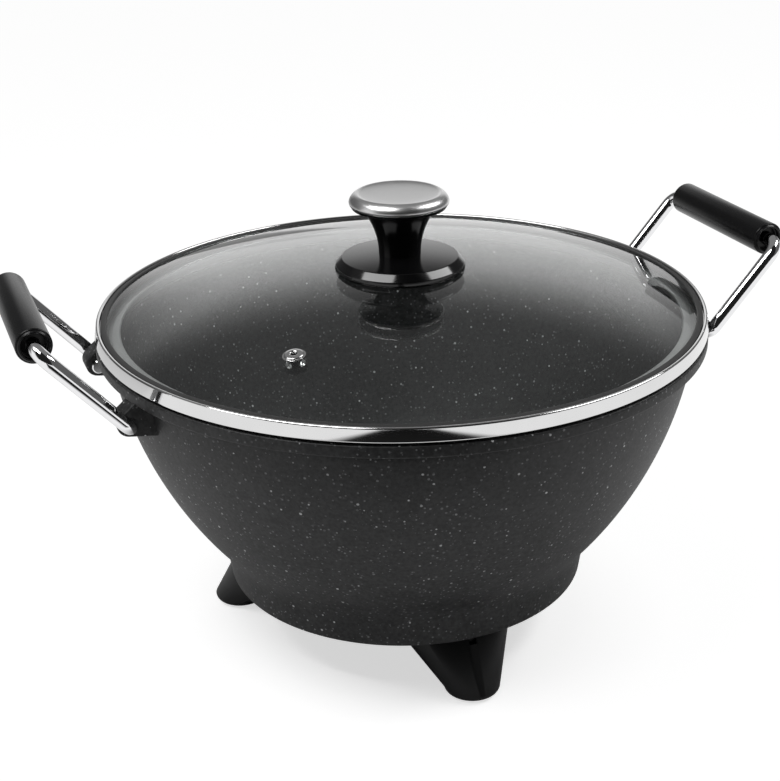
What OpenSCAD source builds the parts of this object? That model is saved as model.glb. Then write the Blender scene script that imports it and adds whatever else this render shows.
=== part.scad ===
// Electric wok: cast bowl on three legs, lift-off glass lid and two bail handles.
// Millimetres, Z up. The origin is on the table under the middle of the bowl.
// The handles lie along X and the appliance inlet faces +Y, the back.

/* [Bowl] */
// Diameter of the band round the rim
rim_d = 352; // [344:1:364]
// Height of the band round the rim
band_h = 7.4; // [6:0.1:10]
// Radius of the rounded outer edges of the band
band_round = 1.4; // [0.6:0.1:2]
// How far the band stands out from the bowl's side
band_step = 7.6; // [6:0.1:9]
// Height of the bowl from the foot ring's lower edge to the underside of the band
body_h = 149; // [140:1:158]
// Radius of the curve of the bowl's side
side_r = 234.5; // [225:0.5:245]
// Height of that curve's centre above the underside of the band
side_rise = 28.9; // [20:0.1:36]
// Thickness of the bowl's side
bowl_wall = 3.5; // [2.8:0.1:4.2]
// Thickness of the bowl's floor
floor_t = 5; // [4:0.5:7]
// Radius of the flat part of the bowl's floor
floor_r = 76; // [60:1:84]
// Height over which the floor curves up into the side
floor_rise = 20; // [14:1:26]

/* [Lid seat] */
// Depth of the seat that the lid drops into
seat_depth = 5.7; // [4.5:0.1:7]
// Width of the ledge that the lid rests on
ledge_w = 4.3; // [3.6:0.1:5]

/* [Foot ring] */
// Diameter of the foot ring at its lower edge
ring_d = 214.4; // [208:0.2:222]
// Height of the foot ring
ring_h = 22; // [19:0.5:26]
// How far the foot ring widens from its lower to its upper edge
ring_flare = 3.6; // [1:0.1:5]
// Thickness of the foot ring's wall
ring_wall = 3.5; // [2.8:0.1:4.5]
// Height of the space for the heater under the bowl's floor
heater_space = 12; // [11.5:0.1:13]

/* [Legs] */
// Height of the foot ring's lower edge above the table
leg_h = 35; // [30:1:42]
// Radius of a leg's round top
leg_top_r = 37.1; // [30:0.1:40]
// How far a leg's top stands in from the foot ring's edge
leg_inset = 2.5; // [1:0.1:4]
// Radius of a leg's foot
leg_foot_r = 16.2; // [15.6:0.1:19]
// How far a leg's foot reaches out past the foot ring's edge
foot_out = 13.6; // [12:0.1:16]
// Height of the rounding at a leg's foot
leg_round = 3; // [1.5:0.1:3.6]
// Thickness of a leg's moulded wall
leg_wall = 2.6; // [2:0.1:3.4]
// Half the angle between the two rear legs
rear_leg_angle = 65; // [56:1:70]
// Width of the drain notch at the top of a leg
notch_w = 4.4; // [3:0.1:6]
// Height of the drain notch
notch_h = 6; // [4:0.1:8]
// Width of a leg's lip round its rubber pad
pad_lip = 1.2; // [0.8:0.1:2.4]
// Thickness of a rubber pad
pad_t = 2.5; // [2:0.1:3.5]
// How far a pad stands out under its leg
pad_out = 1; // [0.6:0.1:1.4]

/* [Leg screws] */
// Radius of a leg screw's shank
leg_screw_r = 2; // [1.6:0.1:2.4]
// Radius of a leg screw's head
leg_head_r = 4.2; // [3.8:0.1:4.8]
// Thickness of a leg screw's head
leg_head_t = 3; // [2:0.1:4]
// Distance of the leg screws in from the foot ring's inner face
leg_screw_in = 6.7; // [6.2:0.1:7.4]
// Radius of the boss cast for each leg screw
boss_r = 5.2; // [4.6:0.1:6]

/* [Base cover] */
// Thickness of the base cover
cover_t = 1.5; // [1:0.1:2]
// Number of cooling slots in the base cover
slot_count = 12; // [8:1:16]
// Width of a cooling slot
slot_w = 3; // [2:0.1:4]
// Length of a cooling slot
slot_l = 18; // [12:1:24]
// Distance of the slots' middles from the middle of the cover
slot_at = 24; // [22:0.5:26]

/* [Heater] */
// Radius of the heater's ring
heater_r = 72; // [66:0.5:76]
// Radius of the heater's tube
tube_r = 4; // [3.4:0.1:4.4]
// Radius of the bend from the ring to a cold end
tube_bend = 10; // [8:0.5:14]
// Thickness of the ribs beside the heater
rib_t = 1.8; // [1.4:0.1:2.4]
// Height of the ribs beside the heater
rib_h = 5; // [3:0.1:6]

/* [Inlet] */
// Distance between the two terminal pins
pin_pitch = 32; // [30:0.5:34]
// Radius of a terminal pin
pin_r = 2.4; // [2:0.1:2.6]
// Free length of a terminal pin
pin_l = 16; // [12:0.5:18]
// How much thinner a pin is inside its bush
pin_step = 0.4; // [0.2:0.1:0.8]
// Length of a pin's ceramic bush in front of the foot ring
bush_l = 6; // [5.5:0.1:7]
// Thickness of the bush's wall round the pin
bush_wall = 1.3; // [1:0.1:1.5]
// Outer radius of the thermostat's probe tube
probe_r = 4; // [3.6:0.1:4.4]
// Thickness of the probe tube's wall
probe_wall = 0.9; // [0.6:0.1:1.2]
// Length of the probe tube
probe_l = 62; // [50:1:70]
// Width of the inlet's housing
inlet_w = 56; // [53:1:62]
// Height of the inlet's housing
inlet_h = 24; // [22:0.5:25]
// How far the housing reaches out from the foot ring
inlet_out = 30; // [26:1:34]
// Thickness of the housing's walls
inlet_wall = 2.5; // [2:0.1:3]
// Thickness of the housing's back plate
inlet_plate = 4; // [3:0.1:5]
// Width of each fixing ear of the housing
inlet_ear_w = 10; // [9:0.5:12]
// Radius of the screws that hold the housing
inlet_screw_r = 1.5; // [1.2:0.1:1.8]
// Length of the screws that hold the housing
inlet_screw_l = 15; // [14:0.5:18]
// Thickness of the earth clip's strip
earth_t = 0.8; // [0.6:0.1:1]
// Width of the earth clip's strip
earth_w = 12; // [8:0.5:14]

/* [Handles] */
// How far the handles' pivots stand out from the bowl's side
pivot_out = 3; // [2.5:0.1:4.5]
// How far the pivots lie under the band
pivot_drop = 10; // [9:0.1:11]
// Radius of the handle's rod
rod_r = 4; // [3.4:0.1:4.2]
// Distance between the middles of a handle's two legs
bail_w = 116.4; // [114:0.2:122]
// Length of a handle from its pivot to the middle of its grip
bail_l = 66; // [60:0.5:72]
// Angle of the handle above the horizontal, as it stands
bail_angle = 48.8; // [40:0.2:60]
// Radius of the bends beside the ears
ear_bend = 10; // [9:0.5:12]
// Radius of the bends beside the grip
grip_bend = 9; // [7:0.5:10]
// Length of the rod's end past the ear
tip_l = 3.5; // [2:0.1:5]
// Radius of the boss of an ear
ear_r = 6.8; // [6:0.1:7.4]
// Width of an ear
ear_w = 10.5; // [8:0.1:11]
// Gap between an ear and the rod's bend
ear_gap = 0.7; // [0.4:0.1:1.2]
// Radius of the grip
grip_r = 9.75; // [8.5:0.05:11]
// Length of the grip
grip_l = 95; // [86:0.5:97]
// Depth of the recess in the grip's ends
grip_recess = 3; // [1:0.1:5]

/* [Lid glass] */
// Radius of the glass's dome
dome_r = 621; // [580:1:720]
// Thickness of the glass
glass_t = 4; // [3.4:0.1:4.4]
// Distance of the vent from the middle of the lid
vent_at = 120; // [100:0.5:140]
// Direction of the vent, from +X
vent_angle = -138; // [-180:1:180]
// Radius of the vent's flange
vent_r = 5.4; // [4.6:0.1:6.4]
// Radius of the vent's hole
vent_hole_r = 1.8; // [1.2:0.1:2.4]
// Radius of the hole in the glass for the vent
vent_seat_r = 3.8; // [3.4:0.1:4.2]

/* [Lid rim] */
// How far the lid's steel rim stands in from the bowl's band
lid_inset = 1; // [0.4:0.1:2.4]
// Height of the steel rim's outer skirt
skirt_h = 7.8; // [7.2:0.1:9]
// Thickness of the rim's sheet
sheet_t = 1; // [0.8:0.1:1.2]
// Width of the rim's bead over the glass
bead_w = 3; // [2.4:0.1:3.4]
// Gap between the steel rim's skirt and the bowl's band
rim_gap = 1.6; // [1:0.1:2.4]
// Thickness of the silicone seal round the glass
seal_t = 0.8; // [0.6:0.1:1.2]
// Width of the seal over the glass
seal_w = 2.6; // [2:0.1:3.4]

/* [Knob] */
// Radius of the skirt under the knob
skirt_r = 36.8; // [32:0.1:40]
// Radius of the flat top of the skirt
skirt_top_r = 33.2; // [29:0.1:34]
// Height of the skirt
skirt_t = 7.3; // [6.6:0.1:9]
// Radius of the stem at its waist
stem_r = 12.1; // [11:0.1:14]
// Radius of the curve of the stem's side
stem_curve = 42; // [38:0.5:60]
// Height of the stem's curved side
stem_h = 24.6; // [22:0.1:28]
// Height of the cone under the cap
cone_h = 3.6; // [3:0.1:5]
// Radius of the cap
cap_r = 28.5; // [27.6:0.1:31]
// Height of the cap
cap_h = 7.2; // [6.4:0.1:8]
// How far the cap's lower edge is rolled in
cap_roll = 1.7; // [1:0.1:2.2]
// Radius of the cap's dished top
dish_r = 25; // [22:0.1:25.6]
// Depth of the cap's dished top
dish_depth = 0.9; // [0.5:0.1:1.4]
// Thickness of the cap's steel
cap_t = 1; // [0.8:0.1:1.3]
// Radius of the knob's screw
knob_screw_r = 2.5; // [2:0.1:3]
// Length of the thread in the knob
knob_thread_l = 12; // [9:0.5:15]
// Thickness of the threaded insert's wall
insert_wall = 1.6; // [1.2:0.1:2.4]
// Height of the screw's head
screw_head_t = 2.4; // [1.8:0.1:3]
// Radius of the silicone washer under the glass
washer_r = 9; // [8:0.1:11]
// Thickness of the silicone washer
gasket_t = 1.5; // [1:0.1:2]
// Thickness of the steel washer under it
washer_t = 1; // [0.6:0.1:1.4]

/* [Clearances] */
// Gap between a moving or loose piece and its seat
seat_gap = 0.3; // [0.2:0.05:0.4]
// Radial clearance of a rod or pin in its bore
bore_gap = 0.05; // [0.03:0.01:0.09]
// Gap of the lid's inner skirt to the wall of its seat
lid_gap = 0.6; // [0.4:0.05:0.8]
// Gap between fixed pieces that follow the same curve
fit_gap = 0.05; // [0.03:0.01:0.09]

/* [Hidden] */
$fn = 96;

rim_r = rim_d / 2;
ring_r = ring_d / 2;
band_z = leg_h + body_h;
rim_z = band_z + band_h;
side_top_r = rim_r - band_step;
// Centre of the circle that the bowl's side follows in section
side_c = [side_top_r - sqrt(side_r * side_r - side_rise * side_rise), band_z + side_rise];
floor_under_z = leg_h + heater_space;
floor_z = floor_under_z + floor_t;
ledge_z = rim_z - seat_depth;
inner_side_r = side_r - bowl_wall;
ledge_r = side_x(inner_side_r, ledge_z);
seat_r = ledge_r + ledge_w;
// Height of the soft corner where the foot ring meets the side
blend_h = 8;
// How far the ears reach in from the side; the bowl's inside trims them
ear_root = 20;

lid_r = rim_r - lid_inset;
skirt_z = rim_z + rim_gap;
lid_top_z = skirt_z + skirt_h;
// Inner face of the bead, and of the steel wall round the seal
bead_r = lid_r - bead_w;
cup_r = bead_r - sheet_t;
glass_r = cup_r - seal_t;
inner_skirt_r = seat_r - lid_gap;
web_z = skirt_z + sheet_t;
glass_edge_z = web_z + seal_t + glass_t;
// Height of the middle of the glass's top
dome_z = glass_edge_z + dome_r - sqrt(dome_r * dome_r - glass_r * glass_r);

// Radius of a leg's flat underside, and thickness of the discs its form spans
foot_flat_r = leg_foot_r - 0.8 * leg_round;
disc_t = 0.2;
leg_top_at = ring_r - leg_inset - leg_top_r;
leg_foot_at = ring_r + foot_out - leg_foot_r;
leg_screw_at = ring_r - ring_wall - leg_screw_in;
pad_r = foot_flat_r - pad_lip;
// Height of the seat that a leg screw's head bears on
screw_seat_z = pad_t + leg_wall + leg_head_t;

pivot_at = side_top_r + pivot_out;
pivot_z = band_z - pivot_drop;
ear_out = bail_w / 2 - ear_bend - ear_gap;
ear_in = ear_out - ear_w;
tip_y = ear_in - tip_l;

heater_z = floor_under_z - seat_gap - tube_r;
probe_z = floor_under_z - seat_gap - probe_r;
cold_x = pin_pitch / 2;
heater_turn = acos((cold_x + tube_bend) / (heater_r + tube_bend));
cold_y = (heater_r + tube_bend) * sin(heater_turn);
plate_y = ring_r + ring_flare + 1;
pin_base_y = plate_y + inlet_plate;
bush_y = plate_y + bush_l;
pin_root_r = pin_r - pin_step;
window_w = pin_pitch + 4 * tube_r;
inlet_screw_at = (inlet_w + inlet_ear_w) / 2;

knob_z = dome_z + seat_gap;
skirt_top_z = knob_z + skirt_t;
stem_top_z = skirt_top_z + stem_h;
stem_top_r = stem_r + stem_curve - sqrt(stem_curve * stem_curve - stem_h * stem_h);
cap_z = stem_top_z + cone_h;
head_r = cap_r - cap_roll;
cap_top_z = cap_z + cap_h;
insert_r = knob_screw_r + insert_wall;
gasket_z = dome(washer_r, glass_t) - fit_gap - gasket_t;
washer_z = gasket_z - washer_t;

// Radius at height z of a circle r about the centre of the side's curve
function side_x(r, z) = side_c[0] + sqrt(r * r - pow(z - side_c[1], 2));

// Points along a circle's arc from angle a to angle b
function arc(c, r, a, b, n) =
  [for (i = [0:n]) c + r * [cos(a + (b - a) * i / n), sin(a + (b - a) * i / n)]];

// Points along a curve that leaves p towards q and arrives at s from q
function blend(p, q, s, n) =
  [for (i = [0:n]) let (t = i / n) (1 - t) * (1 - t) * p + 2 * t * (1 - t) * q + t * t * s];

// Points along a circle r about the side's centre, between two heights
function side_arc(r, z0, z1, n) =
  let (a = asin((z0 - side_c[1]) / r), b = asin((z1 - side_c[1]) / r))
  arc(side_c, r, a, b, n);

// Height of the glass's top at radius x, lowered by t
function dome(x, t) = dome_z - dome_r + sqrt(pow(dome_r - t, 2) - x * x);

function ring_x(z) = ring_r + ring_flare * (z - leg_h) / ring_h;

// Outer outline of the bowl from the foot ring's lower edge to the band, grown by g
function bowl_outline(g) = concat(
  [[ring_r + g, leg_h]],
  blend([ring_x(leg_h + ring_h - blend_h) + g, leg_h + ring_h - blend_h],
        [ring_x(leg_h + ring_h) + g, leg_h + ring_h],
        [side_x(side_r + g, leg_h + ring_h + blend_h), leg_h + ring_h + blend_h], 8),
  side_arc(side_r + g, leg_h + ring_h + 2 * blend_h, band_z, 22));

module at_legs() {
  for (a = [-90, 90 - rear_leg_angle, 90 + rear_leg_angle]) rotate(a) children();
}

// Cylinder along +Y, from y0 to y1
module rod_y(r, y0, y1) {
  translate([0, y0, 0]) rotate([-90, 0, 0]) cylinder(r = r, h = y1 - y0);
}

// Ear outline in the plane across the pivot, from inside the wall to round the pivot
module ear_outline() {
  under = 35;
  over = 50;
  inner = side_top_r - ear_root;
  low = [pivot_at + ear_r * sin(under), pivot_z - ear_r * cos(under)];
  high = [pivot_at + ear_r * cos(over), pivot_z + ear_r * sin(over)];
  rise = band_z + band_round - high[1];
  polygon([
    [inner, band_z + band_round],
    [high[0] - rise * tan(over), band_z + band_round],
    high,
    [pivot_at, pivot_z],
    low,
    [inner, low[1] - (low[0] - inner) * tan(under)]
  ]);
  translate([pivot_at, pivot_z]) circle(r = ear_r);
}

module ears() {
  for (sx = [0, 1], sy = [0, 1])
    mirror([sx, 0, 0]) mirror([0, sy, 0])
      translate([0, ear_out, 0]) rotate([90, 0, 0]) linear_extrude(ear_w) ear_outline();
}

module bowl_inside() {
  rotate_extrude() polygon(concat(
    [[0, floor_z], [floor_r, floor_z]],
    blend([floor_r, floor_z], [side_x(inner_side_r, floor_z), floor_z],
          [side_x(inner_side_r, floor_z + floor_rise), floor_z + floor_rise], 10),
    side_arc(inner_side_r, floor_z + floor_rise * 1.2, ledge_z - 0.6, 22),
    [[ledge_r + 0.5, ledge_z], [seat_r, ledge_z], [seat_r, rim_z - 0.8], [seat_r + 0.8, rim_z],
     [seat_r + 0.8, rim_z + 1], [0, rim_z + 1]]));
}

module bowl_outside() {
  rotate_extrude() polygon(concat(
    [[0, floor_under_z], [ring_r - ring_wall, floor_under_z], [ring_r - ring_wall, leg_h]],
    bowl_outline(0),
    [[rim_r - band_round, band_z]],
    arc([rim_r - band_round, band_z + band_round], band_round, -60, 0, 4),
    arc([rim_r - band_round, rim_z - band_round], band_round, 0, 90, 6),
    [[0, rim_z]]));
}

// Two ribs that keep the heater's ring in place, open behind for its cold ends
module heater_ribs() {
  difference() {
    translate([0, 0, floor_under_z - rib_h]) rotate_extrude() {
      for (x = [heater_r - tube_r - seat_gap - rib_t, heater_r + tube_r + seat_gap])
        translate([x, 0]) square([rib_t, rib_h + 1]);
    }
    gap = cold_x + tube_bend + 2 * tube_r;
    translate([-gap, 0, leg_h]) cube([2 * gap, ring_r, heater_space]);
  }
}

module wok_bowl() color([0.17, 0.17, 0.175]) {
  difference() {
    union() {
      bowl_outside();
      ears();
      heater_ribs();
      at_legs() translate([leg_screw_at, 0, leg_h + cover_t])
        cylinder(r = boss_r, h = heater_space - cover_t + 1);
    }
    bowl_inside();
    for (s = [-1, 1]) translate([s * pivot_at, 0, pivot_z])
      rod_y(rod_r + bore_gap, -ear_out - 1, ear_out + 1);
    at_legs() translate([leg_screw_at, 0, leg_h])
      cylinder(r = leg_screw_r + bore_gap, h = heater_space);
    // Window in the foot ring for the heater's ends and the probe tube
    translate([-window_w / 2, ring_r - 4 * ring_wall, leg_h - 1])
      cube([window_w, 6 * ring_wall, heater_space + 1]);
    for (s = [-1, 1]) inlet_screw_place(s) rod_y(inlet_screw_r + bore_gap, -inlet_screw_l - 1, 1);
  }
}

// The ring and its two bent ends, which meet it end to end
module heating_element() color([0.45, 0.44, 0.42]) {
  // Angle of the hairline gap between the ring and each end
  hairline = fit_gap / heater_r * 180 / PI;
  translate([0, 0, heater_z]) {
    rotate(180 - heater_turn + hairline) rotate_extrude(angle = 180 + 2 * (heater_turn - hairline))
      translate([heater_r, 0]) circle(r = tube_r, $fn = 32);
    for (m = [0, 1]) mirror([m, 0, 0]) {
      translate([cold_x + tube_bend, cold_y, 0]) rotate(180) rotate_extrude(angle = heater_turn)
        translate([tube_bend, 0]) circle(r = tube_r, $fn = 32);
      translate([cold_x, 0, 0]) rod_y(tube_r, cold_y, plate_y - seat_gap);
    }
  }
}

// A thinner root in the bush, a shoulder on the bush's end, and a chamfered tip
module terminal_pins() color("gainsboro") {
  tip = pin_r / 2;
  for (s = [-1, 1]) translate([s * cold_x, 0, heater_z]) {
    rod_y(pin_root_r, plate_y - seat_gap, bush_y + 1);
    rod_y(pin_r, bush_y, bush_y + pin_l - tip);
    translate([0, bush_y + pin_l - tip, 0]) rotate([-90, 0, 0]) cylinder(r1 = pin_r, r2 = tip, h = tip);
  }
}

module terminal_bushes() color("ivory") {
  for (s = [-1, 1]) translate([s * cold_x, 0, heater_z]) difference() {
    union() {
      rod_y(tube_r, plate_y - seat_gap, pin_base_y);
      rod_y(pin_root_r + bush_wall, pin_base_y - 1, bush_y);
    }
    rod_y(pin_root_r + bore_gap, plate_y - 1, bush_y + 1);
  }
}

// Closed at its inner end, with a flange on the housing's plate
module probe_tube() color("silver") {
  flange = 1.5;
  translate([0, 0, probe_z]) difference() {
    union() {
      rod_y(probe_r, pin_base_y + flange - probe_l, pin_base_y + flange);
      rod_y(probe_r + 1, pin_base_y, pin_base_y + flange);
    }
    rod_y(probe_r - probe_wall, pin_base_y + flange + 2 * probe_wall - probe_l, pin_base_y + flange + 1);
  }
}

// Place of a housing screw: its origin on the ear's outer face, pointing out
module inlet_screw_place(s) {
  translate([s * inlet_screw_at, plate_y, heater_z]) children();
}

module inlet_housing() color([0.05, 0.05, 0.05]) {
  low_z = heater_z - inlet_h / 2;
  deep = ring_r / 2;
  difference() {
    union() {
      translate([-inlet_w / 2, deep, low_z]) cube([inlet_w, plate_y - deep + inlet_out, inlet_h]);
      translate([-inlet_w / 2 - inlet_ear_w, deep, heater_z - inlet_ear_w / 2])
        cube([inlet_w + 2 * inlet_ear_w, plate_y - deep, inlet_ear_w]);
    }
    translate([inlet_wall - inlet_w / 2, pin_base_y, low_z + inlet_wall])
      cube([inlet_w - 2 * inlet_wall, inlet_out, inlet_h - 2 * inlet_wall]);
    // The back follows the foot ring and the bowl above it
    rotate_extrude() polygon(concat([[0, low_z - 1], [ring_r + seat_gap, low_z - 1]],
      bowl_outline(seat_gap), [[0, band_z]]));
    for (s = [-1, 1]) {
      translate([s * cold_x, 0, heater_z]) rod_y(tube_r + bore_gap, deep, pin_base_y + 1);
      inlet_screw_place(s) rod_y(inlet_screw_r + bore_gap, -inlet_screw_l - 1, 1);
    }
    translate([0, 0, probe_z]) rod_y(probe_r + bore_gap, deep, pin_base_y + 1);
  }
}

module inlet_screws() color("silver") {
  slot = 0.8;
  for (s = [-1, 1]) inlet_screw_place(s) {
    rod_y(inlet_screw_r, -inlet_screw_l, 0.1);
    difference() {
      rod_y(2 * inlet_screw_r, 0, inlet_screw_r);
      for (a = [0, 90]) rotate([0, a, 0])
        translate([-slot / 2, inlet_screw_r - slot, -inlet_screw_r]) cube([slot, 1, 2 * inlet_screw_r]);
    }
  }
}

// Spring strip on the housing's floor that meets the plug's earth contact
module earth_clip() color("goldenrod") {
  base_z = heater_z - inlet_h / 2 + inlet_wall;
  spring = 2.4;
  length = inlet_out - inlet_plate - 3;
  translate([-earth_w / 2, pin_base_y, base_z]) rotate([90, 0, 90]) linear_extrude(earth_w)
    polygon([
      [0, 0], [length, 0], [length, earth_t], [length - 3, spring + earth_t],
      [length - 9, spring + earth_t], [length - 14, earth_t], [earth_t, earth_t],
      [earth_t, spring], [0, spring]
    ]);
}

module base_cover() color([0.08, 0.08, 0.08]) {
  cover_r = ring_r - ring_wall - seat_gap;
  difference() {
    translate([0, 0, leg_h]) cylinder(r = cover_r, h = cover_t);
    at_legs() translate([leg_screw_at, 0, leg_h - 1]) cylinder(r = leg_screw_r + seat_gap, h = cover_t + 2);
    for (i = [0:slot_count - 1]) rotate((i + 0.5) * 360 / slot_count)
      translate([slot_at - slot_l / 2, 0, leg_h - 1]) linear_extrude(cover_t + 2) {
        translate([0, -slot_w / 2]) square([slot_l, slot_w]);
        for (x = [0, slot_l]) translate([x, 0]) circle(d = slot_w, $fn = 24);
      }
  }
}

// Leaning cone between a leg's top and its foot, drawn in by t
module leg_form(t, z0) {
  hull() {
    translate([leg_top_at, 0, leg_h - disc_t]) cylinder(r = leg_top_r - t, h = disc_t, $fn = 56);
    translate([leg_foot_at, 0, z0 + leg_round]) cylinder(r = leg_foot_r - t, h = disc_t, $fn = 56);
    translate([leg_foot_at, 0, z0]) cylinder(r = foot_flat_r - t, h = disc_t, $fn = 56);
  }
}

// Moulded shell, open at its top, with a column inside for the screw
module leg() color([0.06, 0.06, 0.06]) {
  difference() {
    leg_form(0, pad_out);
    difference() {
      translate([0, 0, disc_t / 2]) leg_form(leg_wall, pad_t + leg_wall);
      translate([leg_screw_at, 0, 0]) cylinder(r = leg_head_r + leg_wall, h = leg_h + 1);
    }
    translate([leg_foot_at, 0, 0]) cylinder(r = pad_r + bore_gap, h = pad_t);
    translate([leg_screw_at, 0, 0]) cylinder(r = leg_screw_r + seat_gap, h = leg_h + 1);
    translate([leg_screw_at, 0, 0]) cylinder(r = leg_head_r + seat_gap, h = screw_seat_z);
    translate([leg_top_at + leg_top_r - leg_wall - 0.5, -notch_w / 2, leg_h - notch_h])
      cube([2 * leg_wall, notch_w, notch_h + 1]);
  }
}

module front_leg() rotate(-90) leg();
module rear_right_leg() rotate(90 - rear_leg_angle) leg();
module rear_left_leg() rotate(90 + rear_leg_angle) leg();

module leg_screws() color("silver") {
  slot = 1;
  at_legs() translate([leg_screw_at, 0, screw_seat_z]) difference() {
    union() {
      translate([0, 0, -leg_head_t]) cylinder(r = leg_head_r, h = leg_head_t);
      translate([0, 0, -slot]) cylinder(r = leg_screw_r, h = floor_under_z - 2 - screw_seat_z + slot);
    }
    for (a = [0, 90]) rotate(a)
      translate([-leg_head_r * 0.6, -slot / 2, -leg_head_t - slot])
        cube([leg_head_r * 1.2, slot, 2.2 * slot]);
  }
}

module leg_pads() color([0.12, 0.12, 0.12]) {
  at_legs() translate([leg_foot_at, 0, 0]) rotate_extrude()
    polygon([[0, 0], [pad_r - 0.8, 0], [pad_r, 0.8], [pad_r, pad_t], [0, pad_t]]);
}

// Quarter bend of the rod in the XY plane, from +X towards +Y, about the bend's centre
module elbow(r) {
  rotate_extrude(angle = 90) translate([r, 0]) circle(r = rod_r, $fn = 32);
}

// Handle laid flat: pivot along Y at the origin, grip at +X
module bail_rod() {
  half = bail_w / 2;
  for (m = [0, 1]) mirror([0, m, 0]) {
    rod_y(rod_r, tip_y + 0.6, half - ear_bend);
    translate([0, tip_y, 0]) rotate([-90, 0, 0]) cylinder(r1 = rod_r - 0.6, r2 = rod_r, h = 0.6);
    translate([ear_bend, half - ear_bend, 0]) rotate(90) elbow(ear_bend);
    translate([ear_bend, half, 0]) rotate([0, 90, 0])
      cylinder(r = rod_r, h = bail_l - ear_bend - grip_bend);
    translate([bail_l - grip_bend, half - grip_bend, 0]) elbow(grip_bend);
  }
  translate([bail_l, 0, 0]) rod_y(rod_r, grip_bend - half, half - grip_bend);
}

module bail_grip() {
  translate([bail_l, 0, 0]) rotate([90, 0, 0]) rotate_extrude()
    polygon(concat(
      [[rod_r + bore_gap, grip_recess - grip_l / 2]],
      [[grip_r - 2.6, grip_recess - grip_l / 2], [grip_r - 2.2, -grip_l / 2]],
      arc([grip_r - 1.2, 1.2 - grip_l / 2], 1.2, -90, 0, 4),
      arc([grip_r - 1.2, grip_l / 2 - 1.2], 1.2, 0, 90, 4),
      [[grip_r - 2.2, grip_l / 2], [grip_r - 2.6, grip_l / 2 - grip_recess]],
      [[rod_r + bore_gap, grip_l / 2 - grip_recess]]));
}

// Stand a handle up on the right or, mirrored, on the left
module on_side(s) {
  mirror([s < 0 ? 1 : 0, 0, 0])
    translate([pivot_at, 0, pivot_z]) rotate([0, -bail_angle, 0]) children();
}

module left_handle_rod() color("gainsboro") on_side(-1) bail_rod();
module left_handle_grip() color([0.06, 0.06, 0.06]) on_side(-1) bail_grip();
module right_handle_rod() color("gainsboro") on_side(1) bail_rod();
module right_handle_grip() color([0.06, 0.06, 0.06]) on_side(1) bail_grip();

// Stand on the glass at the vent, square to its slope
module at_vent() {
  rotate(vent_angle) translate([0, 0, dome_z - dome_r]) rotate([0, asin(vent_at / dome_r), 0])
    translate([0, 0, dome_r]) children();
}

module lid_glass() color([0.75, 0.8, 0.8, 0.45]) {
  hole = knob_screw_r + 1;
  difference() {
    rotate_extrude() polygon(concat(
      [for (i = [0:20]) let (x = hole + (glass_r - hole) * i / 20) [x, dome(x, glass_t)]],
      [for (i = [20:-1:0]) let (x = hole + (glass_r - hole) * i / 20) [x, dome(x, 0)]]));
    at_vent() translate([0, 0, -2 * glass_t]) cylinder(r = vent_seat_r, h = 3 * glass_t);
  }
}

// Wraps the glass's edge and laps over the steel wall up to the bead
module lid_seal() color([0.07, 0.07, 0.07]) {
  in_r = glass_r - seal_w;
  rotate_extrude() polygon([
    [in_r, dome(in_r, glass_t) - seal_t], [cup_r, web_z], [cup_r, glass_edge_z],
    [bead_r, glass_edge_z], [bead_r, glass_edge_z + seal_t],
    [in_r, dome(in_r, 0) + seal_t * 0.7], [in_r, dome(in_r, -fit_gap)],
    [glass_r + fit_gap, dome(glass_r, -fit_gap)],
    [glass_r + fit_gap, dome(glass_r, glass_t + fit_gap)],
    [in_r, dome(in_r, glass_t + fit_gap)]
  ]);
}

// Outer skirt hanging from the bead, wall round the seal, web, and inner skirt
module lid_rim() color("lightgrey") {
  foot_z = ledge_z + seat_gap;
  edge = 0.3;
  rotate_extrude() polygon(concat(
    [[inner_skirt_r, foot_z + edge], [inner_skirt_r, skirt_z]],
    [[bead_r, skirt_z], [bead_r, glass_edge_z - sheet_t]],
    [[lid_r - sheet_t, glass_edge_z - sheet_t], [lid_r - sheet_t, skirt_z]],
    [[lid_r - edge, skirt_z], [lid_r, skirt_z + edge]],
    arc([lid_r - bead_w / 2, lid_top_z - bead_w / 2], bead_w / 2, 0, 150, 10),
    [[bead_r, glass_edge_z + seal_t], [bead_r, glass_edge_z], [cup_r, glass_edge_z], [cup_r, web_z]],
    [[inner_skirt_r - sheet_t, web_z], [inner_skirt_r - sheet_t, foot_z], [inner_skirt_r - edge, foot_z]]));
}

module vent_eyelet() color("silver") {
  neck = vent_seat_r - bore_gap;
  at_vent() rotate_extrude() polygon(concat(
    [[vent_hole_r, -glass_t - 1.2], [vent_r - 0.6, -glass_t - 1.2], [vent_r - 0.6, -glass_t - 0.1],
     [neck, -glass_t - 0.1], [neck, 0.1], [vent_r, 0.1]],
    arc([vent_r - 1.4, 0.4], 1.4, 0, 90, 5),
    [[vent_hole_r + 0.6, 1.4], [vent_hole_r, 0.6]]));
}

module knob_skirt() color([0.03, 0.03, 0.03]) {
  foot_r = skirt_r - 0.6;
  hub_r = stem_r;
  foot_z = dome(foot_r, 0) + seat_gap;
  rotate_extrude() polygon(concat(
    [[knob_screw_r + bore_gap, knob_z], [hub_r, knob_z], [hub_r, knob_z + skirt_t * 0.4],
     [foot_r - 3, foot_z + skirt_t * 0.35], [foot_r - 3, foot_z], [foot_r, foot_z]],
    blend([skirt_r, foot_z + 2], [skirt_r - 0.6, skirt_top_z - 3.2], [skirt_top_r, skirt_top_z - 2.2], 6),
    [[stem_r, skirt_top_z], [knob_screw_r + bore_gap, skirt_top_z]]));
}

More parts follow.
